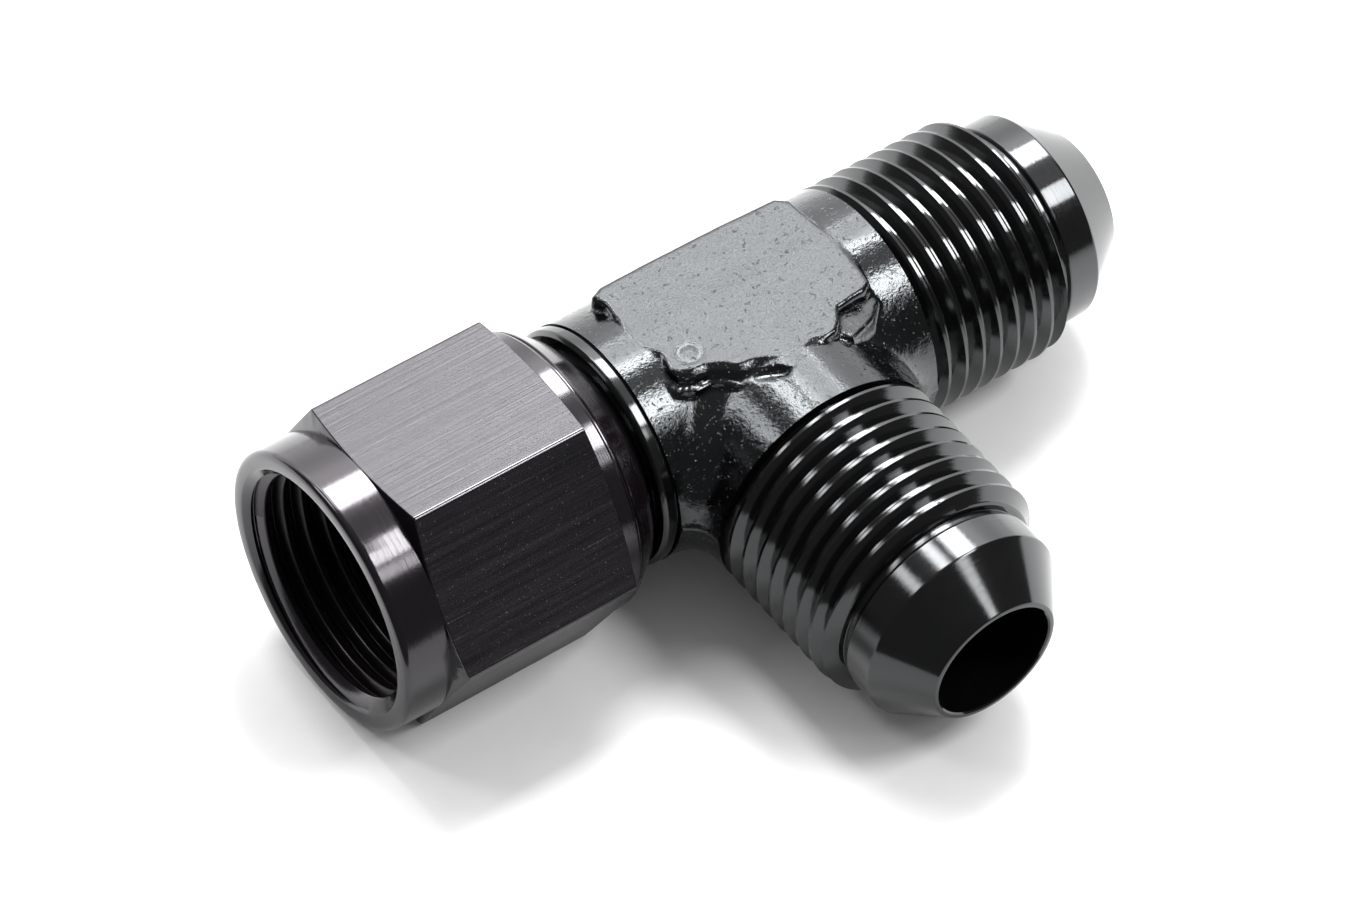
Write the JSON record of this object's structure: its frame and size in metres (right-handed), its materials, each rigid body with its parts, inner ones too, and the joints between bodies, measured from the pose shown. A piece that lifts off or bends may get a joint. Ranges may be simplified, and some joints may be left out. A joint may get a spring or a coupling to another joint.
{
  "type": "flare tee fitting with female swivel nut",
  "caption": "Size -8 flare tee: forged body with two male 37 degree flare ends and a female swivel hex nut on the run, held by a thrust wire.",
  "frame": {"origin": "the point where the run axis and the branch axis cross, on the flow bore's centre line", "axes": "+X along the run towards its male flare end (the swivel nut is at -X), -Y along the branch towards its male flare end, +Z out of the upper wrench pad"},
  "size_m": [0.0678, 0.0447, 0.0228],
  "materials": {
    "black_anodised_body": "glossy black anodised, satin on the forged faces",
    "grey_anodised_nut": "dark purple-grey anodised bar stock, drawn lengthwise",
    "steel_wire": "bright spring steel"
  },
  "bodies": {
    "body": {"tee_body": "black_anodised_body"},
    "nut": {"swivel_nut": "grey_anodised_nut", "retaining_wire": "steel_wire"}
  },
  "joints": [
    {"name": "nut_swivel", "type": "hinge", "parent": "body", "child": "nut", "pos_m": [-0.0246, 0, 0], "axis": [1, 0, 0], "continuous": true}
  ]
}
